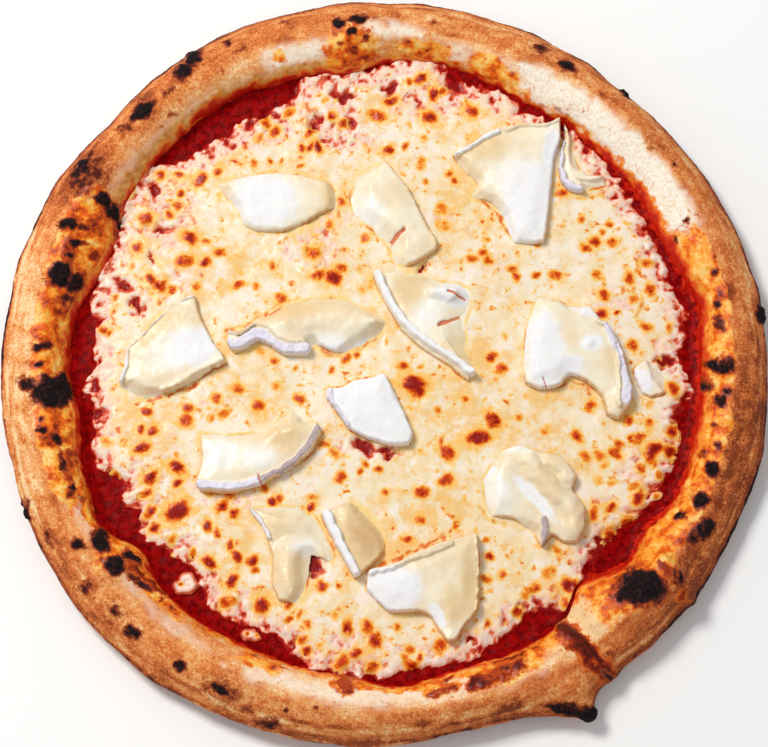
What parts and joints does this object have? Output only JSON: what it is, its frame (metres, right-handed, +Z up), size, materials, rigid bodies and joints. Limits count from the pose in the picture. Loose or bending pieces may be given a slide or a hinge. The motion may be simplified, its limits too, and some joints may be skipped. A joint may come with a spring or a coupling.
{
  "type": "goat cheese pizza",
  "caption": "Round baked pizza with a raised blistered crust, tomato sauce, melted mozzarella and slices of soft goat cheese.",
  "frame": {"origin": "centre of the pizza's flat bottom", "axes": "+Z up out of the topping, X and Y across the pizza, the torn flap of the rim towards +X and -Y"},
  "size_m": [0.3222, 0.3243, 0.0242],
  "materials": {
    "baked_crust": "baked wheat dough, tan to brown with dark blisters and dry flour, matte",
    "tomato_sauce": "wet deep red tomato sauce",
    "mozzarella": "melted cream cheese layer with brown spots and an oily sheen",
    "goat_cheese": "soft ivory paste with a dull white bloomy rind"
  },
  "bodies": {
    "root": {"pizza_crust": "baked_crust", "tomato_sauce": "tomato_sauce", "melted_mozzarella": "mozzarella", "mozzarella_crumb_01": "mozzarella", "mozzarella_crumb_02": "mozzarella", "goat_cheese_01": "goat_cheese", "goat_cheese_02": "goat_cheese", "goat_cheese_03": "goat_cheese", "goat_cheese_04": "goat_cheese", "goat_cheese_05": "goat_cheese", "goat_cheese_06": "goat_cheese", "goat_cheese_07": "goat_cheese", "goat_cheese_08": "goat_cheese", "goat_cheese_09": "goat_cheese", "goat_cheese_10": "goat_cheese", "goat_cheese_11": "goat_cheese", "goat_cheese_12": "goat_cheese", "goat_cheese_13": "goat_cheese", "goat_cheese_14": "goat_cheese", "goat_cheese_15": "goat_cheese"}
  },
  "joints": []
}
